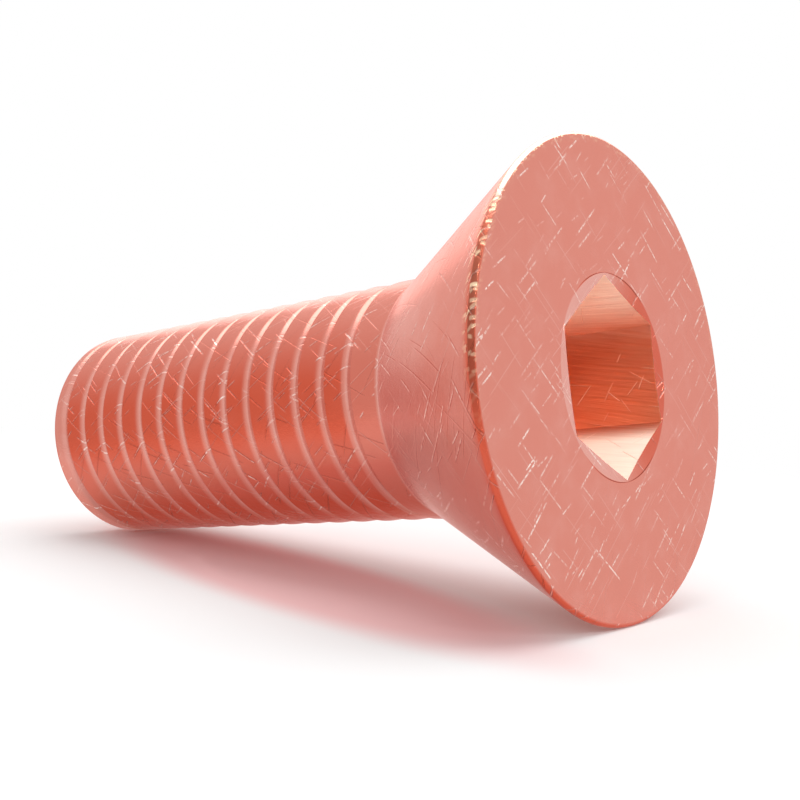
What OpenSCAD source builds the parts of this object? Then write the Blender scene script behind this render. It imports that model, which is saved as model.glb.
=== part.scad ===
// Countersunk machine screw with a hexagon socket, lying at rest on its head's rim and its tip.
// The whole screw is one solid: a turned blank, a helical groove cut round it and a socket cut in its head.

/* [Head] */

// Diameter of the head at its flat face
head_d = 33; // [28:0.5:40]
// Angle between opposite sides of the countersunk cone, in degrees
head_angle = 60; // [50:1:90]
// Radius that rounds the rim between the face and the cone
rim_r = 0.3; // [0.1:0.05:0.8]
// Radius that fills the corner between the cone and the neck
fillet_r = 0.8; // [0.2:0.1:1.5]

/* [Shank] */

// Diameter of the neck and of the lands between the turns of the groove
shank_d = 18; // [15:0.5:22]
// Length from the head's face to the end of the tip
length = 51.5; // [40:0.5:90]
// Length and depth of the chamfer round the tip
tip_chamfer = 1.5; // [0.5:0.1:2.5]

/* [Thread] */

// Distance between neighbouring turns of the groove
pitch = 2.5; // [1.5:0.25:3]
// Angle between the two flanks of the groove, in degrees
flank_angle = 60; // [55:1:70]
// Width of the groove at the surface of the shank
groove_w = 0.75; // [0.5:0.05:1.1]
// Width of the flat at the bottom of the groove
root_flat = 0.1; // [0.05:0.05:0.3]
// Distance along the axis from the cone to the centre of the groove where it ends
neck_run = 1.5; // [1.2:0.05:8]
// Distance along the axis from the chamfer to the centre of the groove where it begins
tip_run = 0.8; // [0.75:0.05:4]
// Direction round the axis in which the groove begins, in degrees from the floor side
start_turn = 180; // [0:5:355]
// Turn over which the groove sinks to its full depth at the tip, in degrees
sink_turn = 60; // [30:5:180]
// Turn over which the groove rises out again under the head, in degrees
rise_turn = 75; // [30:5:180]

/* [Socket] */

// Width of the hexagon from flat to flat
socket_w = 12; // [8:0.5:14]
// Depth of the hexagon below the head's face
socket_depth = 8; // [5:0.5:10]
// Direction of one corner of the hexagon, in degrees from the floor side
socket_turn = 4.5; // [0:0.5:59.5]
// Width of the coned mouth outside the corners of the hexagon
mouth_margin = 0.12; // [0.05:0.01:0.5]
// Angle between opposite sides of the coned mouth, in degrees
mouth_angle = 168; // [90:2:170]
// How much narrower the drilled hole is than the hexagon's flats
drill_less = 0.2; // [0.1:0.05:0.6]
// Length of the drilled hole's straight wall below the hexagon
drill_past = 0.5; // [0.2:0.1:1.5]
// Angle between opposite sides of the drilled cone at the bottom, in degrees
drill_angle = 120; // [100:2:140]

/* [Hidden] */

// Facets round every turned surface and steps in one turn of the groove
round_facets = 96;
turn_steps = 48;
// Segments in each rounded corner of the turned profile
arc_steps = 6;
// Distance that a cut reaches past the surface it opens
cut_over = 1;

head_r = head_d / 2;
shank_r = shank_d / 2;
cone_slope = head_angle / 2;

// Turned profile: the cone touches the rim's arc and the fillet's arc, both found from their centres
rim_centre = [head_r - rim_r, -rim_r];
fillet_x = shank_r + fillet_r;
fillet_y = rim_centre[1] - (rim_r + fillet_r + (rim_centre[0] - fillet_x) * cos(cone_slope)) / sin(cone_slope);
// Height at which the straight cone and the straight neck would cross
neck_y = rim_centre[1] - (rim_r + (rim_centre[0] - shank_r) * cos(cone_slope)) / sin(cone_slope);
ring_y = tip_chamfer - length;

function arc(centre, radius, from, to) = [
    for (i = [0 : arc_steps])
        let (a = from + (to - from) * i / arc_steps)
        centre + radius * [cos(a), sin(a)]
];

rim_arc = arc(rim_centre, rim_r, 90, -cone_slope);
fillet_arc = arc([fillet_x, fillet_y], fillet_r, 180 - cone_slope, 180);

profile = concat(
    [[0, 0]],
    rim_arc,
    fillet_arc,
    [[shank_r, ring_y], [shank_r - tip_chamfer, -length], [0, -length]]
);

// Groove: its section is a trapezium, carried along a right-hand helix from the tip to the neck
flank_slope = tan(flank_angle / 2);
groove_depth = (groove_w - root_flat) / 2 / flank_slope;
// The cutter stands this far out of the shank, half way to where its neighbouring turns would meet
groove_over = (pitch - groove_w) / 4 / flank_slope;
groove_from = ring_y + tip_run;
groove_to = neck_y - neck_run;
groove_turn = (groove_to - groove_from) / pitch * 360;
groove_steps = ceil(groove_turn / 360 * turn_steps);

// Share of the full depth at an angle along the helix, from just outside the shank to 1
function sunk(a) = min(1, a / sink_turn, (groove_turn - a) / rise_turn);
function groove_floor(a) = shank_r + groove_over / 2 - (groove_depth + groove_over / 2) * sunk(a);

// The four corners of the section at an angle along the helix
function groove_ring(a) =
    let (
        r = groove_floor(a),
        top = shank_r + groove_over,
        half = root_flat / 2,
        wide = half + (top - r) * flank_slope,
        y = groove_from + a / 360 * pitch,
        t = start_turn + a
    )
    [
        for (p = [[r, -half], [r, half], [top, wide], [top, -wide]])
            [p[0] * cos(t), p[0] * sin(t), y + p[1]]
    ];

groove_points = [
    for (i = [0 : groove_steps])
        each groove_ring(groove_turn * i / groove_steps)
];

function side(a, b) = [[a, b, b + 4], [a, b + 4, a + 4]];

groove_faces = concat(
    [[0, 1, 2], [0, 2, 3]],
    [
        for (i = [0 : groove_steps - 1], k = [0 : 3])
            each side(4 * i + (k + 1) % 4, 4 * i + k)
    ],
    [
        for (f = [[2, 1, 0], [3, 2, 0]])
            [for (k = f) k + 4 * groove_steps]
    ]
);

// Socket
corner_r = socket_w / 2 / cos(30);
mouth_r = corner_r + mouth_margin;
mouth_slope = tan(mouth_angle / 2);
mouth_depth = (mouth_r - socket_w / 2) / mouth_slope;
drill_r = (socket_w - drill_less) / 2;
drill_wall = -socket_depth - drill_past;
// The drilled hole in section, from its point up to inside the hexagon
drill_profile = [
    [0, drill_wall - drill_r / tan(drill_angle / 2)],
    [drill_r, drill_wall],
    [drill_r, cut_over - socket_depth],
    [0, cut_over - socket_depth]
];

// Pose at rest: the rim's arc and the full ring at the tip both touch the floor
to_rim = rim_centre - [shank_r, ring_y];
tilt = atan2(to_rim[0], to_rim[1]) + asin(rim_r / norm(to_rim));
// Place of a profile point on the floor side, along the floor and above it
function along(p) = p[1] * cos(tilt) + p[0] * sin(tilt);
function above(p) = p[1] * sin(tilt) - p[0] * cos(tilt);
ends = [for (p = profile) each [along(p), along([-p[0], p[1]])]];
middle_x = (min(ends) + max(ends)) / 2;
floor_z = min([for (p = profile) above(p)]);

module blank() {
    rotate_extrude($fn = round_facets) polygon(profile);
}

module groove() {
    polyhedron(points = groove_points, faces = groove_faces);
}

module socket() {
    rotate([0, 0, socket_turn])
        translate([0, 0, -socket_depth])
            cylinder(r = corner_r, h = socket_depth + cut_over, $fn = 6);
    translate([0, 0, -mouth_depth])
        cylinder(
            r1 = socket_w / 2,
            r2 = mouth_r + cut_over * mouth_slope,
            h = mouth_depth + cut_over,
            $fn = round_facets
        );
    rotate_extrude($fn = round_facets) polygon(drill_profile);
}

module screw() {
    color("#D9907F")
        translate([-middle_x, 0, -floor_z])
            rotate([0, 90 - tilt, 0])
                difference() {
                    blank();
                    groove();
                    socket();
                }
}

screw();
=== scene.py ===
"""A countersunk machine screw with a hexagon socket, in scratched copper, lying on a pale floor.

The screw is one closed surface: rows of points about the screw's own axis, each joined to the last,
from the middle of the tip along the shank and the cone, over the face and down into the socket.
Along the thread the rows become one helical strip, so that they follow the groove exactly. Sizes are
millimetres in the screw's own frame, with the head's face at height 0 and the tip below it. Angles
round the screw start at its floor side; a point's rise is 1 at its top side and -1 at its floor side.
"""

import bpy
import numpy as np
from mathutils import Matrix


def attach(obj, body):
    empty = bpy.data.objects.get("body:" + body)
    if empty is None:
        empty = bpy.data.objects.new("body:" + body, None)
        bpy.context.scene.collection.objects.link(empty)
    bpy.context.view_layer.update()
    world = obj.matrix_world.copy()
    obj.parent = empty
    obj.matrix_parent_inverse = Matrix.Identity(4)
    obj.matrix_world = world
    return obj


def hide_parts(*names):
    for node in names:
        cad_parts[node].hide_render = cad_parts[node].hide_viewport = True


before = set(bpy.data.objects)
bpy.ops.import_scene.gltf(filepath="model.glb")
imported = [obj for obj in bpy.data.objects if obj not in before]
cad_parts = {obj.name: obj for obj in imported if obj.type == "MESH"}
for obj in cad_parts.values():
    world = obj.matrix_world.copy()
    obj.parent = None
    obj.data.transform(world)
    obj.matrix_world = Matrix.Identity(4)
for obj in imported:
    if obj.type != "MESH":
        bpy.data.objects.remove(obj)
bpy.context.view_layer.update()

# Head
HEAD_R = 16.5
CONE_SLOPE = np.radians(30)
RIM_R = 0.3
FILLET_R = 0.8

# Shank and thread
SHANK_R = 9.0
LENGTH = 51.5
TIP_CHAMFER = 1.5
EDGE_R = 0.19
PITCH = 2.5
FLANK = np.tan(np.radians(30))
GROOVE_W = 0.75
ROOT_FLAT = 0.1
NECK_RUN = 1.5
TIP_RUN = 0.8
START_TURN = np.radians(180)
SINK_TURN = 60.0
RISE_TURN = 75.0
# Height over the shank at which the groove begins and ends, and the roundings of its three corners
RUN_OVER = 0.06
ROOT_EASE = 0.06
TIP_SIDE_EASE = 0.32
HEAD_SIDE_EASE = 0.04
# How far each land falls from its tip side to its head side
LAND_FALL = 0.16

# Socket
SOCKET_W = 12.0
SOCKET_DEPTH = 8.0
SOCKET_TURN = np.radians(4.5)
MOUTH_MARGIN = 0.12
MOUTH_SLOPE = np.tan(np.radians(84))
DRILL_R = 5.9
DRILL_PAST = 0.5
DRILL_SLOPE = np.tan(np.radians(60))

# Points round the screw: a multiple of six, so that a column falls on each corner of the hexagon
COLUMNS = 174

rim_centre = np.array([HEAD_R - RIM_R, -RIM_R])
fillet_x = SHANK_R + FILLET_R
fillet_across = (rim_centre[0] - fillet_x) * np.cos(CONE_SLOPE)
fillet_z = rim_centre[1] - (RIM_R + FILLET_R + fillet_across) / np.sin(CONE_SLOPE)
neck_across = (rim_centre[0] - SHANK_R) * np.cos(CONE_SLOPE)
neck_z = rim_centre[1] - (RIM_R + neck_across) / np.sin(CONE_SLOPE)
ring_z = TIP_CHAMFER - LENGTH
groove_from = ring_z + TIP_RUN
groove_turn = (neck_z - NECK_RUN - groove_from) / PITCH * 360
groove_depth = (GROOVE_W - ROOT_FLAT) / 2 / FLANK
mouth_r = SOCKET_W / 2 / np.cos(np.radians(30)) + MOUTH_MARGIN

# The angle at which it rests on the rim's rounding and on the full ring at the tip
to_rim = rim_centre - np.array([SHANK_R, ring_z])
TILT = np.arctan2(to_rim[0], to_rim[1]) + np.arcsin(RIM_R / np.hypot(*to_rim))

# Columns, with the first one again at the end so that each row of faces closes
turns = 2 * np.pi * np.arange(COLUMNS + 1) / COLUMNS
angles = SOCKET_TURN + turns
from_start = (angles - START_TURN) % (2 * np.pi)

# Rows of one pitch of the thread, as heights from the groove's centre, closest at its edges
TIP_SIDE = [-1.25, -1.0, -0.8, -0.65, -0.55, -0.48, -0.43, -0.39, -0.355, -0.31, -0.24, -0.16, -0.09, -0.05]
HEAD_SIDE = [0, 0.05, 0.1, 0.18, 0.26, 0.33, 0.36, 0.375, 0.39, 0.42, 0.5, 0.65, 0.85, 1.05]
pitch_rows = np.array(TIP_SIDE + HEAD_SIDE)


def linear(code):
    """An sRGB hex colour as linear RGBA."""
    c = np.array([int(code[i : i + 2], 16) for i in (1, 3, 5)]) / 255
    low = c / 12.92
    high = ((c + 0.055) / 1.055) ** 2.4
    return (*np.where(c > 0.04045, high, low).tolist(), 1.0)


def smooth(x, low, high):
    """0 below low, 1 above high, and an even S between them."""
    t = np.clip((x - low) / (high - low), 0, 1)
    return t * t * (3 - 2 * t)


def soft_min(a, b, k):
    """The smaller of two arrays, with the corner between them rounded over a width k."""
    h = np.clip(0.5 + 0.5 * (b - a) / k, 0, 1)
    return b * (1 - h) + a * h - k * h * (1 - h)


def laid_down(points):
    """Points of the screw's own frame as they lie at rest, still in mm.

    The axis is leant over from +Z towards +X until it rises from the floor by TILT, and the
    screw is moved so that the underside of its box is centred on the origin."""
    c, s = np.cos(TILT), np.sin(TILT)
    x, y, z = points.T
    laid = np.stack([z * c + x * s, y, z * s - x * c], -1)
    low, high = laid.min(0), laid.max(0)
    return laid - [(low[0] + high[0]) / 2, 0, low[2]]


def groove_turns(z, turn):
    """For points of the shank: how far along the groove its nearest turn is, in degrees, and how
    far above the centre of that turn the point is, in mm."""
    k = np.round((z - groove_from) / PITCH - turn / (2 * np.pi))
    along = 360 * (k + turn / (2 * np.pi))
    return along, z - groove_from - PITCH * along / 360


def groove_radius(z, turn):
    """Radius of the threaded shank at height z and turn radians round from the groove's start.

    The groove's centre climbs one pitch a turn. Its floor is flat, its flanks lean by 30 degrees,
    and it sinks in at the tip and rises out under the head. The land between two turns is highest
    at its tip side and falls evenly towards the head. The groove's edge towards the tip is rounded
    off, and its edge towards the head is crisp."""
    along, off = groove_turns(z, turn)
    sunk = np.minimum(1, np.minimum(along / SINK_TURN, (groove_turn - along) / RISE_TURN))
    floor = SHANK_R + RUN_OVER - (groove_depth + RUN_OVER) * sunk
    flank = floor + (np.abs(off) - ROOT_FLAT / 2) / FLANK
    wall = -soft_min(-flank, -floor, ROOT_EASE)
    begun = along - 360 * (off < 0)
    ends = np.minimum(begun / SINK_TURN, (groove_turn - 360 - begun) / RISE_TURN)
    across = (off + PITCH * (off < 0) - GROOVE_W / 2) / (PITCH - GROOVE_W)
    land = SHANK_R - LAND_FALL * np.clip(ends, 0, 1) * np.clip(across, 0, 1)
    return soft_min(wall, land, np.where(off < 0, TIP_SIDE_EASE, HEAD_SIDE_EASE))


def painted_sheen_by_side(around):
    """Painted highlight and shade of the plain shank at an angle round it: painted nearly white along the top
    as a highlight, deepest at half height as a painted reflection, and a little lighter below that."""
    rise = -np.cos(around)
    top = smooth(rise, 0.1, 0.9) + 0.3 * smooth(rise, 0.8, 0.95)
    return top + 0.38 * smooth(-rise, 0.15, 0.5) * (1 - smooth(-rise, 0.6, 0.85))


def shank_tone(z, turn, around):
    """Tone of a point of the shank, much of it painted light and shade: the painted highlight and shade by
    side on the lands, pale in the groove and at the tip.

    The groove's band fades in over its rounded edge and stops short at its crisp one. The side of the groove
    under that edge is painted lighter, as a painted reflection, because from the front it only shows mirrored
    in the other side."""
    along, off = groove_turns(z, turn)
    lighter = 1.1 + 0.35 * smooth(off, -0.08, 0.04)
    band = smooth(off, -0.72, -0.22) * (1 - smooth(off, 0.365, 0.385))
    band = band * smooth(along, 0, 30) * (1 - smooth(along, groove_turn - 50, groove_turn - 15))
    last = neck_z - NECK_RUN - PITCH + PITCH * turn / (2 * np.pi)
    # Painted highlight and shade by side on the lands; the neck painted half-way to pale, a painted light
    # against the cone's shade; the tip pale
    painted_land_tone = painted_sheen_by_side(around)
    painted_land_tone = painted_land_tone + 0.5 * (1 - painted_land_tone) * smooth(z, last, last + 0.1)
    painted_land_tone = np.maximum(painted_land_tone, 1 - smooth(z, -48.6, -48.1))
    return painted_land_tone * (1 - band) + band * lighter


def rim_wear_and_highlight(points):
    """Where the rim's ragged marks show, painted light on its upper part as a painted highlight: 1 on the rim
    of the head round its upper part, and 0 elsewhere.
    """
    x, y, z = points.T
    r = np.hypot(x, y)
    return smooth(r, rim_centre[0] - 0.05, rim_centre[0] + 0.1) * smooth(-x / np.maximum(r, 1), -0.3, 0.5)


def arc(centre, radius, start, stop, steps):
    """Profile points (radius, height) along an arc, from one angle in degrees to another."""
    a = np.radians(np.linspace(start, stop, steps))
    return np.stack([centre[0] + radius * np.cos(a), centre[1] + radius * np.sin(a)], -1)


def line(start, stop, steps):
    """Profile points between two points, both ends left out."""
    t = np.linspace(0, 1, steps + 2)[1:-1, None]
    return np.asarray(start) * (1 - t) + np.asarray(stop) * t


class Skin:
    """A closed surface under construction: its points, and its faces from one row to the next.

    Each corner of a face keeps its own place on the skin in mm, so that no face is squeezed where
    the skin closes round the screw. Each point keeps its tone, which is mostly painted light and shade:
    0 is deep orange and 1 is pale, more is lighter and less is darker."""

    def __init__(self):
        self.points, self.tones = [], []
        self.faces, self.places, self.kinds = [], [], []
        self.count = 0

    def add(self, points, tone):
        """Keeps points with their tone, and gives back their numbers."""
        self.points.append(points)
        self.tones.append(np.broadcast_to(np.asarray(tone, float), len(points)))
        self.count += len(points)
        return np.arange(self.count - len(points), self.count)

    def ring(self, radius, height, tone):
        """A row round the screw; radius and height are numbers, or one for each column."""
        r = np.broadcast_to(radius, turns.shape)[:-1]
        h = np.broadcast_to(height, turns.shape)[:-1]
        a = angles[:-1]
        row = self.add(np.stack([r * np.cos(a), r * np.sin(a), h], -1), tone)
        return np.append(row, row[0])

    def pole(self, height, tone):
        """A row whose points are all the same one, on the axis."""
        return np.repeat(self.add(np.array([[0.0, 0.0, height]]), tone), COLUMNS + 1)

    def join(self, low, high, low_place, high_place, kind):
        """A row of faces between two rows, each with its corners' places."""
        self.faces.append(np.stack([low[:-1], low[1:], high[1:], high[:-1]], -1))
        corners = [low_place[:-1], low_place[1:], high_place[1:], high_place[:-1]]
        self.places.append(np.stack(corners, 1))
        self.kinds.append(np.full(COLUMNS, kind))

    def turned(self, row, profile, tones, place, kind):
        """Rows for a turned profile of (radius, height), which starts at a row already made.

        place gives a row's places from its radius, its height and its length along the profile."""
        steps = np.linalg.norm(np.diff(profile, axis=0), axis=1)
        run = np.concatenate([[0], np.cumsum(steps)])
        before = place(*profile[0], 0.0)
        for (radius, height), tone, length in zip(profile[1:], tones, run[1:]):
            after = place(radius, height, length)
            new = self.ring(radius, height, tone) if radius > 0 else self.pole(height, tone)
            self.join(row, new, before, after, kind)
            row, before = new, after
        return row

    def thread(self, low, high, low_z, high_z, kind):
        """The threaded shank between two rings, as one strip wound round it.

        A row starts at its own height and climbs one pitch in a turn, so it ends where the row one
        pitch further on starts. What would lie beyond either ring is moved onto the ring."""
        base = groove_from + PITCH * (SOCKET_TURN - START_TURN) / (2 * np.pi)
        first = int(np.floor((low_z - base) / PITCH)) - 2
        last = int(np.ceil((high_z - base) / PITCH)) + 2
        starts = (base + PITCH * np.arange(first, last)[:, None] + pitch_rows).ravel()
        z = starts[:, None] + PITCH * turns / (2 * np.pi)
        under, over = z < low_z + 1e-6, z > high_z - 1e-6
        number = np.where(under, low, high)
        free = ~under & ~over
        inner = free[:, :-1]
        height = z[:, :-1][inner]
        turn = np.broadcast_to(from_start, z.shape)[:, :-1][inner]
        around = np.broadcast_to(angles, z.shape)[:, :-1][inner]
        radius = groove_radius(height, turn)
        shape = np.stack([radius * np.cos(around), radius * np.sin(around), height], -1)
        number[:, :-1][inner] = self.add(shape, shank_tone(height, turn, around))
        closing = np.flatnonzero(free[:, -1])
        number[closing, -1] = number[closing + len(pitch_rows), 0]
        place = wrapped(SHANK_R)
        rows = [place(SHANK_R, np.clip(row, low_z, high_z), 0) for row in z]
        for i in range(len(starts) - 1):
            self.join(number[i], number[i + 1], rows[i], rows[i + 1], kind)

    def mesh(self, name):
        """The finished mesh, in metres and laid down. A face with two corners at one point is
        made a triangle, and one with more is left out."""
        faces, places = np.concatenate(self.faces), np.concatenate(self.places)
        kinds = np.concatenate(self.kinds)
        same = faces == np.roll(faces, -1, axis=1)
        four, three = same.sum(1) == 0, same.sum(1) == 1
        kept = ~same[three]
        loops = np.concatenate([faces[four].ravel(), faces[three][kept]])
        where = np.concatenate([places[four].reshape(-1, 2), places[three][kept]])
        sizes = np.repeat([4, 3], [four.sum(), three.sum()])
        shape = laid_down(np.concatenate(self.points)) / 1000
        mesh = bpy.data.meshes.new(name)
        mesh.vertices.add(len(shape))
        mesh.vertices.foreach_set("co", shape.ravel())
        mesh.loops.add(len(loops))
        mesh.loops.foreach_set("vertex_index", loops)
        mesh.polygons.add(len(sizes))
        mesh.polygons.foreach_set("loop_start", np.cumsum(sizes) - sizes)
        mesh.update(calc_edges=True)
        mesh.polygons.foreach_set("material_index", np.concatenate([kinds[four], kinds[three]]))
        mesh.uv_layers.new(name="skin").data.foreach_set("uv", where.ravel())
        rim_marks_and_highlight = mesh.attributes.new("rim_marks_and_highlight", "FLOAT", "POINT")
        rim_marks_and_highlight.data.foreach_set("value", rim_wear_and_highlight(np.concatenate(self.points)).astype(np.float32))
        tone = mesh.attributes.new("tone", "FLOAT", "POINT")
        tone.data.foreach_set("value", np.concatenate(self.tones).astype(np.float32))
        mesh.set_sharp_from_angle(angle=np.radians(35))
        return mesh


def wrapped(radius):
    """Places on a skin wrapped round the screw: arc length at one radius, and height."""
    return lambda r, z, s: np.stack([radius * turns, np.broadcast_to(z, turns.shape)], -1)


def unrolled(radius):
    """Places on a skin wrapped round the screw: arc length at one radius, and profile length."""
    return lambda r, z, s: np.stack([radius * turns, np.broadcast_to(s, turns.shape)], -1)


def flat(r, z, s):
    """Places on a face square to the axis: x and y."""
    return np.stack([r * np.cos(angles), r * np.sin(angles)], -1)


def screw_skin():
    """The whole screw: turned tip, thread, turned cone and face, and the six-sided socket."""
    skin = Skin()
    outside, inside = 0, 1

    # Tip: a flat end, a chamfer and the first full ring, with the two edges slightly rounded
    ease = EDGE_R * np.tan(np.radians(22.5))
    low_edge = arc([SHANK_R - TIP_CHAMFER - ease, EDGE_R - LENGTH], EDGE_R, -90, -45, 4)
    high_edge = arc([SHANK_R - EDGE_R, ring_z + ease], EDGE_R, -45, 0, 4)
    end = np.concatenate([[[0, -LENGTH]], line([0, -LENGTH], low_edge[0], 5), low_edge])
    row = skin.turned(skin.pole(-LENGTH, 0.8), end, np.full(len(end), 0.8), flat, outside)
    chamfer = np.concatenate([low_edge[-1:], line(low_edge[-1], high_edge[0], 4), high_edge])
    low_z, high_z = high_edge[-1][1], fillet_z
    row = skin.turned(row, chamfer, np.full(len(chamfer), 0.8), wrapped(SHANK_R), outside)

    # Shank
    # The neck's ring is painted half pale and half with the painted highlight and shade by side
    neck = skin.ring(SHANK_R, high_z, 0.5 + 0.5 * painted_sheen_by_side(angles[:-1]))
    skin.thread(row, neck, low_z, high_z, outside)

    # Head: the filled corner, the cone, the rounded rim and the flat face. Their tones are painted light and
    # shade: the filled corner lighter, the rim deep orange as a painted reflection, the cone painted duller
    # on its upper side as painted shade, and the rim painted near white on its upper side as a painted
    # highlight and dark below that as painted shade.
    slope = np.degrees(CONE_SLOPE)
    fillet = arc([fillet_x, fillet_z], FILLET_R, 180, 180 - slope, 6)
    rim = arc(rim_centre, RIM_R, -slope, 90, 12)
    cone = np.concatenate([fillet, line(fillet[-1], rim[0], 34), rim])
    rise = -np.cos(angles[:-1])
    rows = np.arange(1, len(cone))
    # Painted light and shade along the profile: the filled corner lighter, the rim deep orange as a painted
    # reflection
    tones = np.interp(rows, [0, 5, 18, 30, 38.5, 40.5, 48, 51], [0.8, 1.35, 1.15, 1, 1, 0, 0, 1])
    # Painted shade: the cone is painted duller on its upper side
    sloped = np.interp(rows, [4, 12, 37, 38], [0, 1, 1, 0])
    tones = tones[:, None] - 0.4 * np.outer(sloped, smooth(rise, 0.3, 0.75))
    # Painted highlight: the rim is painted near white on its upper side
    rim_highlight_rows = np.interp(rows, [40, 41.5, 48, 50], [0, 1, 1, 0])
    tones = tones + 1.7 * np.outer(rim_highlight_rows, smooth(rise, 0.45, 0.75))
    # Painted shade: the rim is painted dark at half height
    rim_shade = smooth(rise, -0.3, 0.05) * (1 - smooth(rise, 0.3, 0.6))
    tones = tones - 0.7 * np.outer(np.interp(rows, [38.5, 41, 48, 50], [0, 1, 1, 0]), rim_shade)
    row = skin.turned(neck, cone, tones, unrolled(12.0), outside)
    radii = np.append(np.linspace(rim[-1][0], mouth_r + 0.1, 22), mouth_r + 0.03)
    face = np.stack([radii, np.zeros(len(radii))], -1)
    row = skin.turned(row, face, np.ones(len(face)), flat, outside)

    # Socket: the coned mouth down to the six-sided edge, the walls, and the drilled bottom
    sector = (turns + np.pi / 6) % (np.pi / 3) - np.pi / 6
    hexagon = SOCKET_W / 2 / np.cos(np.pi / 6 - np.abs(sector))
    edge_z = (hexagon - mouth_r) / MOUTH_SLOPE
    # Painted light and shade: the mouth painted pale towards -y and deep orange towards +y as painted
    # reflection, the walls painted paler at top and bottom as painted light, and a dark line painted at the
    # mouth's edge at top and bottom as painted shade over a tiny real step
    mouth_painted_light = (1.2 - smooth(np.sin(angles), -0.1, 0.7))[:-1]
    wall_painted_light = np.maximum(0.75 * smooth(rise, 0.35, 1.0), smooth(-rise, 0.4, 0.7))
    mouth_edge_shade = mouth_painted_light - 2 * smooth(np.abs(rise), 0.7, 0.95)
    before = flat(radii[-1], 0, 0)
    for share, drop in [(0, 0.006), (0.03, 0), (0.08, 0), (0.3, 0), (0.6, 0), (0.9, 0), (1, 0)]:
        radius = mouth_r + (hexagon - mouth_r) * share
        new = skin.ring(radius, edge_z * share - drop, mouth_edge_shade if share < 0.05 else mouth_painted_light)
        after = flat(radius, 0, 0)
        skin.join(row, new, before, after, outside)
        row, before = new, after
    around = unrolled(SOCKET_W / 2)
    before = around(0, 0, -edge_z)
    for share in [0.008, *np.linspace(0.06, 1, 14)]:
        height = edge_z - (SOCKET_DEPTH + edge_z) * share
        new = skin.ring(hexagon, height, wall_painted_light)
        after = around(0, 0, -height)
        skin.join(row, new, before, after, inside)
        row, before = new, after
    drill_z = -SOCKET_DEPTH - DRILL_PAST
    point = [0, drill_z - DRILL_R / DRILL_SLOPE]
    ledge = skin.ring(DRILL_R, -SOCKET_DEPTH, 0)
    skin.join(row, ledge, before, around(0, 0, SOCKET_DEPTH + 0.5), inside)
    wall = np.array([[DRILL_R, -SOCKET_DEPTH], [DRILL_R, -SOCKET_DEPTH - 0.25], [DRILL_R, drill_z]])
    row = skin.turned(ledge, wall, np.zeros(3), around, inside)
    cone = np.concatenate([wall[-1:], line(wall[-1], point, 8), [point]])
    skin.turned(row, cone, np.zeros(len(cone)), flat, inside)
    return skin


screw = bpy.data.objects.new("screw_body", screw_skin().mesh("screw_body"))
bpy.context.scene.collection.objects.link(screw)
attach(screw, "root")
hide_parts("screw")


# Materials
def node(tree, kind, links=None, **settings):
    """Adds a node, sets its values, and links or fills its inputs from a dict by name or number."""
    new = tree.nodes.new(kind)
    for name, value in settings.items():
        setattr(new, name, value)
    for key, value in (links or {}).items():
        if isinstance(value, bpy.types.NodeSocket):
            tree.links.new(value, new.inputs[key])
        else:
            new.inputs[key].default_value = value
    return new


def new_material(name):
    """An empty node material with its output."""
    material = bpy.data.materials.new(name)
    material.use_nodes = True
    tree = material.node_tree
    tree.nodes.clear()
    return material, tree, tree.nodes.new("ShaderNodeOutputMaterial")


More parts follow.
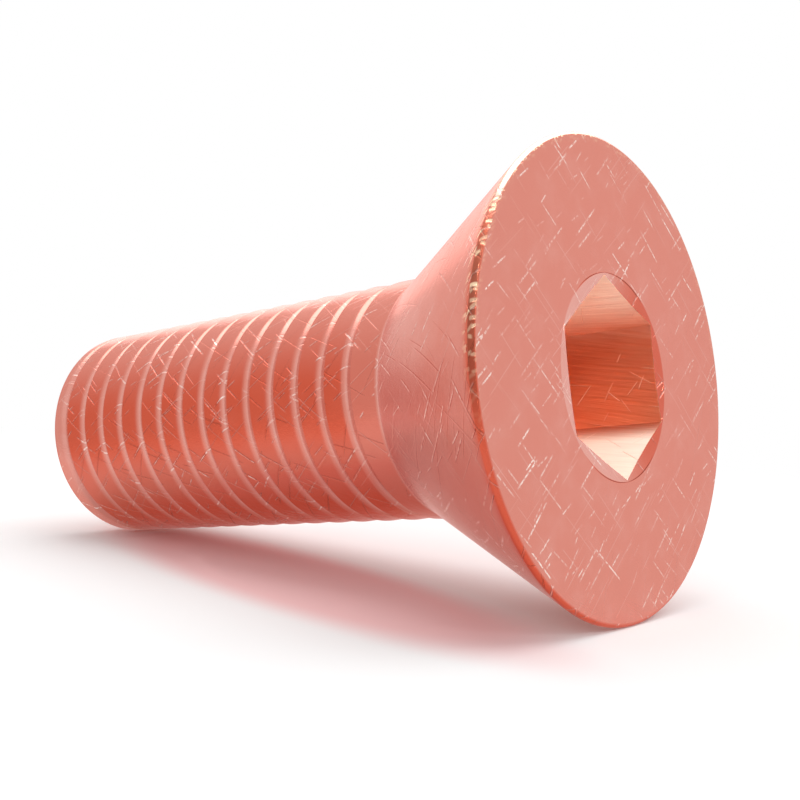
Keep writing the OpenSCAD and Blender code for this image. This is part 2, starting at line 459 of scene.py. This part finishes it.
def scratches(tree, place, lean, cell, size, share, sway, shift):
    """A layer of straight scratches on a skin in mm, as a mask from 0 to 1.

    The skin is turned by lean and cut into irregular cells of about cell (along, across). A cell
    may hold one scratch through its own point, of up to size (half length, half width), a little
    off the layer's direction by sway. share is how many of the cells have one."""
    turned = node(tree, "ShaderNodeVectorRotate", {"Vector": place, "Angle": lean}, rotation_type="Z_AXIS")
    scaled = node(tree, "ShaderNodeVectorMath", {
        0: turned.outputs[0], 1: (1 / cell[0], 1 / cell[1], 0), 2: (shift, shift * 1.7, 0),
    }, operation="MULTIPLY_ADD")
    cells = node(tree, "ShaderNodeTexVoronoi", {
        "Vector": scaled.outputs[0], "Scale": 1.0,
    }, voronoi_dimensions="2D")
    offset = node(tree, "ShaderNodeVectorMath", {
        0: scaled.outputs[0], 1: cells.outputs["Position"],
    }, operation="SUBTRACT")
    in_mm = node(tree, "ShaderNodeVectorMath", {
        0: offset.outputs[0], 1: (cell[0], cell[1], 0),
    }, operation="MULTIPLY")
    at = node(tree, "ShaderNodeSeparateXYZ", {0: in_mm.outputs[0]})
    chance = node(tree, "ShaderNodeSeparateColor", {0: cells.outputs["Color"]})
    slope = node(tree, "ShaderNodeMapRange", {"Value": chance.outputs[0], "To Min": -sway, "To Max": sway})
    across = node(tree, "ShaderNodeMath", {
        0: at.outputs[0], 1: slope.outputs[0], 2: at.outputs[1],
    }, operation="MULTIPLY_ADD")
    across = node(tree, "ShaderNodeMath", {0: across.outputs[0]}, operation="ABSOLUTE")
    thin = node(tree, "ShaderNodeMapRange", {
        "Value": across.outputs[0],
        "From Min": size[1] * 0.3,
        "From Max": size[1],
        "To Min": 1.0,
        "To Max": 0.0,
    }, interpolation_type="SMOOTHSTEP")
    along = node(tree, "ShaderNodeMath", {0: at.outputs[0]}, operation="ABSOLUTE")
    reach = node(tree, "ShaderNodeMapRange", {
        "Value": chance.outputs[1], "To Min": size[0] * 0.35, "To Max": size[0],
    })
    left = node(tree, "ShaderNodeMath", {0: reach.outputs[0], 1: along.outputs[0]}, operation="SUBTRACT")
    ended = node(tree, "ShaderNodeMapRange", {"Value": left.outputs[0], "From Max": size[0] * 0.25})
    strength = node(tree, "ShaderNodeMapRange", {
        "Value": chance.outputs[2], "From Min": 1 - share, "To Min": 0.35,
    })
    there = node(tree, "ShaderNodeMath", {0: chance.outputs[2], 1: 1 - share}, operation="GREATER_THAN")
    mask = node(tree, "ShaderNodeMath", {0: thin.outputs[0], 1: ended.outputs[0]}, operation="MULTIPLY")
    mask = node(tree, "ShaderNodeMath", {0: mask.outputs[0], 1: strength.outputs[0]}, operation="MULTIPLY")
    mask = node(tree, "ShaderNodeMath", {0: mask.outputs[0], 1: there.outputs[0]}, operation="MULTIPLY")
    return mask.outputs[0]


def most(tree, masks):
    """The largest of several masks."""
    best = masks[0]
    for mask in masks[1:]:
        best = node(tree, "ShaderNodeMath", {0: best, 1: mask}, operation="MAXIMUM").outputs[0]
    return best


def mixed(tree, share, first, second):
    """A colour between two, from a share of 0 to 1."""
    mix = node(tree, "ShaderNodeMix", {0: share, 6: first, 7: second}, data_type="RGBA")
    return mix.outputs[2]


# Copper at tones 1, 0, -1 and 2, the last three mostly painted reflection, shade and highlight; in a scratch,
# partly fresh metal and partly a painted glint; and on the rim's ragged marks, scratched open and painted as
# a highlight
PALE = linear("#DC8C7D")
DEEP = linear("#D25C44")
DARK = linear("#80301F")
LIGHT = linear("#FFF0EA")
SCRATCH_BARE_GLINT = linear("#FFEFE6")
RIM_BARE_HIGHLIGHT = linear("#FFE2BE")


def scratched_copper():
    """Turned copper, softly polished and then handled and scratched in a box of other screws.

    The skin's own colour is a soft pale; the lands, the neck and the rim are painted a deeper orange as a
    painted reflection, and the tone is painted lighter or darker by side as painted highlight and shade.
    Scratches run two ways across each other and are painted almost white, partly as fresh metal and partly as
    a painted glint; finer ones, about 0.04 mm wide, are drawn twice as wide as they are, so that they show.
    Longer ones only show by their depth, which is most on the orange lands."""
    material, tree, out = new_material("turned_scratched_copper")
    place = node(tree, "ShaderNodeUVMap", uv_map="skin").outputs[0]
    tone = node(tree, "ShaderNodeAttribute", attribute_name="tone").outputs["Fac"]

    # Clusters, some centimetres apart, and the breaks within a scratch
    cluster = node(tree, "ShaderNodeTexNoise", {"Vector": place, "Scale": 0.22, "Detail": 2.0})
    cluster = node(tree, "ShaderNodeMapRange", {
        "Value": cluster.outputs[0], "From Min": 0.42, "From Max": 0.6, "To Min": 0.25,
    })
    broken = node(tree, "ShaderNodeTexNoise", {"Vector": place, "Scale": 3.5, "Detail": 2.0})
    broken = node(tree, "ShaderNodeMapRange", {
        "Value": broken.outputs[0], "From Min": 0.38, "From Max": 0.56,
    })

    # The two ways that the scratches run
    lean = np.radians(51)
    deep_cuts = most(tree, [
        scratches(tree, place, -lean, (4.4, 1.1), (2.1, 0.085), 0.34, 0.08, 3.1),
        scratches(tree, place, lean, (4.0, 1.2), (1.9, 0.095), 0.32, 0.08, 11.7),
        scratches(tree, place, lean * 1.05, (2.0, 0.9), (0.9, 0.08), 0.3, 0.2, 27.3),
    ])
    fine_cuts = most(tree, [
        scratches(tree, place, -lean * 0.95, (5.2, 0.6), (2.5, 0.045), 0.22, 0.05, 41.9),
        scratches(tree, place, lean * 1.04, (5.6, 0.6), (2.7, 0.045), 0.22, 0.05, 57.1),
    ])
    long_cuts = most(tree, [
        scratches(tree, place, lean * 0.55, (9.0, 1.5), (4.2, 0.06), 0.5, 0.12, 83.9),
        scratches(tree, place, -lean * 1.25, (7.5, 1.3), (3.5, 0.06), 0.5, 0.1, 97.3),
    ])
    cut = node(tree, "ShaderNodeMath", {0: deep_cuts, 1: cluster.outputs[0]}, operation="MULTIPLY")
    cut = node(tree, "ShaderNodeMath", {0: cut.outputs[0], 1: broken.outputs[0]}, operation="MULTIPLY")

    # Slow changes of tone
    cloud = node(tree, "ShaderNodeTexNoise", {
        "Vector": place, "Scale": 0.35, "Detail": 4.0, "Roughness": 0.6,
    })
    cloud = node(tree, "ShaderNodeMapRange", {
        "Value": cloud.outputs[0], "From Min": 0.3, "From Max": 0.7, "To Min": -0.05, "To Max": 0.05,
    })
    tone = node(tree, "ShaderNodeMath", {0: tone, 1: cloud.outputs[0]}, operation="ADD").outputs[0]
    under = node(tree, "ShaderNodeMath", {0: tone, 1: 1.0}, operation="ADD").outputs[0]
    over = node(tree, "ShaderNodeMath", {0: tone, 1: 1.0}, operation="SUBTRACT").outputs[0]
    # Painted light and shade: the tone picks the colour from dark through deep and pale to light
    colour = mixed(tree, under, DARK, DEEP)
    colour = mixed(tree, tone, colour, PALE)
    colour = mixed(tree, over, colour, LIGHT)
    gain = node(tree, "ShaderNodeMapRange", {"Value": tone, "To Min": 0.35, "To Max": 1.0}).outputs[0]
    relief = node(tree, "ShaderNodeMapRange", {"Value": tone, "To Min": 1.0, "To Max": 0.2})
    # Scratches painted near white: partly fresh metal, partly a painted glint
    faint = node(tree, "ShaderNodeMath", {0: fine_cuts, 1: 0.16}, operation="MULTIPLY")
    colour = mixed(tree, faint.outputs[0], colour, SCRATCH_BARE_GLINT)
    bright = node(tree, "ShaderNodeMath", {0: cut.outputs[0], 1: gain}, operation="MULTIPLY")
    colour = mixed(tree, bright.outputs[0], colour, SCRATCH_BARE_GLINT)

    # The rim, scratched open in ragged marks across it, and painted light on its upper part as a painted
    # highlight
    rim_marks_and_highlight = node(tree, "ShaderNodeAttribute", attribute_name="rim_marks_and_highlight").outputs["Fac"]
    hatch = most(tree, [
        scratches(tree, place, np.radians(80), (0.9, 0.34), (0.42, 0.13), 0.7, 0.3, 5.3),
        scratches(tree, place, np.radians(60), (0.8, 0.4), (0.38, 0.12), 0.6, 0.3, 15.1),
    ])
    bared_and_lit = node(tree, "ShaderNodeMapRange", {"Value": hatch, "To Min": 0.08, "To Max": 1.0})
    bared_and_lit = node(tree, "ShaderNodeMath", {0: bared_and_lit.outputs[0], 1: rim_marks_and_highlight}, operation="MULTIPLY")
    colour = mixed(tree, bared_and_lit.outputs[0], colour, RIM_BARE_HIGHLIGHT)

    # Depth, as a share of the deepest cut
    grain = node(tree, "ShaderNodeTexNoise", {
        "Vector": place, "Scale": 2.2, "Detail": 3.0, "Roughness": 0.6,
    })
    marks = node(tree, "ShaderNodeMath", {0: hatch, 1: rim_marks_and_highlight}, operation="MULTIPLY")
    marks = most(tree, [deep_cuts, long_cuts, marks.outputs[0]])
    depth = node(tree, "ShaderNodeMath", {0: fine_cuts, 1: 0.5, 2: marks}, operation="MULTIPLY_ADD")
    depth = node(tree, "ShaderNodeMath", {
        0: grain.outputs[0], 1: 0.35, 2: depth.outputs[0],
    }, operation="MULTIPLY_ADD")
    bump = node(tree, "ShaderNodeBump", {
        "Strength": relief.outputs[0], "Distance": 0.00011, "Height": depth.outputs[0],
    }, invert=True)
    shader = node(tree, "ShaderNodeBsdfPrincipled", {
        "Base Color": colour,
        "Metallic": 1.0,
        "Roughness": 0.27,
        "Specular Tint": (1.0, 0.78, 0.74, 1.0),
        "Normal": bump.outputs[0],
    })
    tree.links.new(shader.outputs[0], out.inputs["Surface"])
    return material


def broached_copper():
    """The socket's walls, cut by a broach and scratched by keys.

    Fine streaks run almost along the screw, and the surface is half rough. The walls are painted paler
    towards the top and the bottom as painted light, and there they are less like a mirror than the rest, so
    that light from one wall fills the others."""
    material, tree, out = new_material("broached_copper")
    place = node(tree, "ShaderNodeUVMap", uv_map="skin").outputs[0]
    tone = node(tree, "ShaderNodeAttribute", attribute_name="tone").outputs["Fac"]
    turned = node(tree, "ShaderNodeVectorRotate", {
        "Vector": place, "Angle": np.radians(10),
    }, rotation_type="Z_AXIS")
    drawn = node(tree, "ShaderNodeVectorMath", {
        0: turned.outputs[0], 1: (5.0, 0.16, 1),
    }, operation="MULTIPLY")
    streak = node(tree, "ShaderNodeTexNoise", {"Vector": drawn.outputs[0], "Scale": 1.0, "Detail": 3.0})
    streak = node(tree, "ShaderNodeMapRange", {
        "Value": streak.outputs[0], "From Min": 0.35, "From Max": 0.65,
    })
    # Painted light: the walls' tone paints them paler at the top and bottom
    colour = mixed(tree, tone, linear("#DC9172"), linear("#FFF6E6"))
    dull = node(tree, "ShaderNodeMapRange", {"Value": tone, "To Min": 0.4, "To Max": 0.1})
    dark = node(tree, "ShaderNodeMath", {0: streak.outputs[0], 1: dull.outputs[0]}, operation="MULTIPLY")
    colour = mixed(tree, dark.outputs[0], colour, linear("#D0724E"))
    cuts = most(tree, [
        scratches(tree, place, np.radians(40), (2.6, 1.3), (1.2, 0.06), 0.45, 0.2, 7.7),
        scratches(tree, place, np.radians(-48), (2.6, 1.5), (1.2, 0.06), 0.35, 0.2, 19.3),
        scratches(tree, place, np.radians(98), (6.0, 1.1), (2.8, 0.05), 0.35, 0.03, 33.1),
    ])
    # Painted glint: the scratches are painted pale
    glint = node(tree, "ShaderNodeMath", {0: cuts, 1: 0.6}, operation="MULTIPLY")
    colour = mixed(tree, glint.outputs[0], colour, linear("#FFD9C2"))
    depth = node(tree, "ShaderNodeMath", {0: cuts, 1: -2.0, 2: streak.outputs[0]}, operation="MULTIPLY_ADD")
    bump = node(tree, "ShaderNodeBump", {"Strength": 1.0, "Distance": 0.00002, "Height": depth.outputs[0]})
    polish = node(tree, "ShaderNodeMapRange", {"Value": tone, "To Min": 1.0, "To Max": 0.3})
    shader = node(tree, "ShaderNodeBsdfPrincipled", {
        "Base Color": colour,
        "Metallic": polish.outputs[0],
        "Roughness": 0.5,
        "Normal": bump.outputs[0],
    })
    tree.links.new(shader.outputs[0], out.inputs["Surface"])
    return material


screw.data.materials.append(scratched_copper())
screw.data.materials.append(broached_copper())


# Floor and backdrop
def wide_plane(name, height, half):
    """A level square that belongs to the stage, half being half its side in metres."""
    mesh = bpy.data.meshes.new(name)
    corners = [(-half, -half, height), (half, -half, height), (half, half, height), (-half, half, height)]
    mesh.from_pydata(corners, [], [(0, 1, 2, 3)])
    plane = bpy.data.objects.new(name, mesh)
    bpy.context.scene.collection.objects.link(plane)
    return plane


floor = wide_plane("floor", 0.0, 3.0)


def seen_directly(tree):
    """1 for what the camera sees, also in metal or through glass, and 0 for what lights the scene;
    and whether it is seen in metal."""
    ray = tree.nodes.new("ShaderNodeLightPath")
    seen = node(tree, "ShaderNodeMath", {
        0: ray.outputs["Is Camera Ray"], 1: ray.outputs["Is Glossy Ray"],
    }, operation="MAXIMUM")
    seen = node(tree, "ShaderNodeMath", {
        0: seen.outputs[0], 1: ray.outputs["Is Transmission Ray"],
    }, operation="MAXIMUM")
    return seen.outputs[0], ray.outputs["Is Glossy Ray"]


def away_side(tree, direction):
    """1 towards the darker side of the studio, which only metal shows, and 0 elsewhere."""
    unit = node(tree, "ShaderNodeVectorMath", {0: direction}, operation="NORMALIZE")
    towards = node(tree, "ShaderNodeVectorMath", {
        0: unit.outputs[0], 1: (-0.62, -0.78, 0.05),
    }, operation="DOT_PRODUCT")
    return node(tree, "ShaderNodeMapRange", {
        "Value": towards.outputs["Value"], "From Min": 0.55, "From Max": 0.95,
    }, interpolation_type="SMOOTHSTEP").outputs[0]


def pale_floor():
    """White paper: matt, shaded near the screw and painted pink where its shadow falls, and one with the
    white backdrop further off.
    """
    material, tree, out = new_material("white_paper_floor")
    place = node(tree, "ShaderNodeTexCoord").outputs["Object"]
    away = node(tree, "ShaderNodeVectorMath", {0: place}, operation="LENGTH")
    far = node(tree, "ShaderNodeMapRange", {
        "Value": away.outputs["Value"], "From Min": 0.07, "From Max": 0.16,
    }, interpolation_type="SMOOTHSTEP")
    seen, glossy = seen_directly(tree)
    past = node(tree, "ShaderNodeMapRange", {
        "Value": away.outputs["Value"], "From Min": 0.025, "From Max": 0.06,
    })
    metal = node(tree, "ShaderNodeMapRange", {"Value": past.outputs[0], "To Min": 0.35, "To Max": 1.0})
    metal = node(tree, "ShaderNodeMath", {0: glossy, 1: metal.outputs[0]}, operation="MULTIPLY")
    white = node(tree, "ShaderNodeMath", {0: far.outputs[0], 1: metal.outputs[0]}, operation="MAXIMUM")
    white = node(tree, "ShaderNodeMath", {0: white.outputs[0], 1: seen}, operation="MULTIPLY")

    # The paper is painted pink in front of the copper as a painted shadow tint, in an ellipse that leans with
    # the shadow
    near = node(tree, "ShaderNodeVectorRotate", {
        "Vector": place, "Center": (0.002, -0.006, 0), "Angle": np.radians(14.4),
    }, rotation_type="Z_AXIS")
    near = node(tree, "ShaderNodeVectorMath", {0: near.outputs[0], 1: (-0.002, 0.006, 0)}, operation="ADD")
    near = node(tree, "ShaderNodeVectorMath", {
        0: near.outputs[0], 1: (1 / 0.027, 1 / 0.0075, 0),
    }, operation="MULTIPLY")
    near = node(tree, "ShaderNodeVectorMath", {0: near.outputs[0]}, operation="LENGTH")
    painted_shadow_tint = node(tree, "ShaderNodeMapRange", {
        "Value": near.outputs["Value"], "From Min": 0.7, "From Max": 1.25, "To Min": 1.0, "To Max": 0.0,
    }, interpolation_type="SMOOTHSTEP")
    colour = mixed(tree, painted_shadow_tint.outputs[0], linear("#FBFBFB"), linear("#FBD2D2"))
    paper = node(tree, "ShaderNodeBsdfDiffuse", {"Color": colour, "Roughness": 0.5})
    side = away_side(tree, place)
    dim = node(tree, "ShaderNodeMath", {0: side, 1: glossy}, operation="MULTIPLY")
    dim = node(tree, "ShaderNodeMath", {0: dim.outputs[0], 1: past.outputs[0]}, operation="MULTIPLY")
    strength = node(tree, "ShaderNodeMapRange", {"Value": dim.outputs[0], "To Min": 1.0, "To Max": 0.93})
    glow = node(tree, "ShaderNodeEmission", {"Color": (1, 1, 1, 1), "Strength": strength.outputs[0]})
    shader = node(tree, "ShaderNodeMixShader", {0: white.outputs[0], 1: paper.outputs[0], 2: glow.outputs[0]})
    tree.links.new(shader.outputs[0], out.inputs["Surface"])
    return material


floor.data.materials.append(pale_floor())

world = bpy.data.worlds.new("studio")
bpy.context.scene.world = world
world.use_nodes = True
sky = world.node_tree
sky.nodes.clear()
seen, glossy = seen_directly(sky)
side = away_side(sky, node(sky, "ShaderNodeTexCoord").outputs["Generated"])
dim = node(sky, "ShaderNodeMath", {0: side, 1: glossy}, operation="MULTIPLY")
bright = node(sky, "ShaderNodeMapRange", {"Value": dim.outputs[0], "To Min": 1.0, "To Max": 0.93})
strength = node(sky, "ShaderNodeMapRange", {"Value": seen, "To Min": 0.74, "To Max": bright.outputs[0]})
background = node(sky, "ShaderNodeBackground", {"Color": (1, 1, 1, 1), "Strength": strength.outputs[0]})
world_out = node(sky, "ShaderNodeOutputWorld", {"Surface": background.outputs[0]})


def lamp(name, kind, energy, **settings):
    """A lamp with its settings."""
    light = bpy.data.lights.new(name, kind)
    light.energy = energy
    for key, value in settings.items():
        setattr(light, key, value)
    thing = bpy.data.objects.new(name, light)
    bpy.context.scene.collection.objects.link(thing)
    return thing


def aim(thing, place, target):
    """Stands a lamp at a place, pointing at a target, both in metres."""
    place, target = np.array(place, float), np.array(target, float)
    back = place - target
    back /= np.linalg.norm(back)
    right = np.cross([0, 0, 1], back)
    right /= np.linalg.norm(right)
    up = np.cross(back, right)
    turned = Matrix(np.stack([right, up, back], 1).tolist()).to_4x4()
    thing.matrix_world = Matrix.Translation(place.tolist()) @ turned


# A wide soft key overhead, a low kicker from behind, and two narrow spots that look into the socket
key = lamp("key", "SUN", 1.75, angle=np.radians(70))
aim(key, (-0.02, 0.2, 0.5), (0, 0, 0))
kicker = lamp("kicker", "SUN", 0.1, angle=np.radians(24))
aim(kicker, (-0.38, 0.265, 0.18), (0, 0, 0))
mouth = np.array([0.0245, 0.0, 0.0164])
high_spot = lamp("high_spot", "SPOT", 13.0, spot_size=np.radians(2.6), spot_blend=0.5, shadow_soft_size=0.01)
aim(high_spot, mouth + 0.35 * np.array([0.75, -0.2, 0.62]), mouth)
low_spot = lamp("low_spot", "SPOT", 2.8, spot_size=np.radians(2.6), spot_blend=0.5, shadow_soft_size=0.01)
aim(low_spot, mouth + 0.35 * np.array([0.9, -0.42, 0.02]), mouth)

# Camera: about one head's width from the nearer end, almost level with the head
camera = bpy.data.cameras.new("camera")
camera.lens = 53.03
camera.sensor_width = 36.0
camera.clip_start = 0.001
camera.clip_end = 20.0
camera_object = bpy.data.objects.new("camera", camera)
bpy.context.scene.collection.objects.link(camera_object)
right = (0.77921142, 0.62430199, 0.05546702)
up = (-0.0577744, -0.01657574, 0.99819205)
back = (0.62409269, -0.78100721, 0.02315267)
stand = Matrix(np.stack([right, up, back], 1).tolist()).to_4x4()
camera_object.matrix_world = Matrix.Translation((0.062808, -0.070529, 0.015859)) @ stand
bpy.context.scene.camera = camera_object

bpy.context.scene.view_settings.view_transform = "Standard"
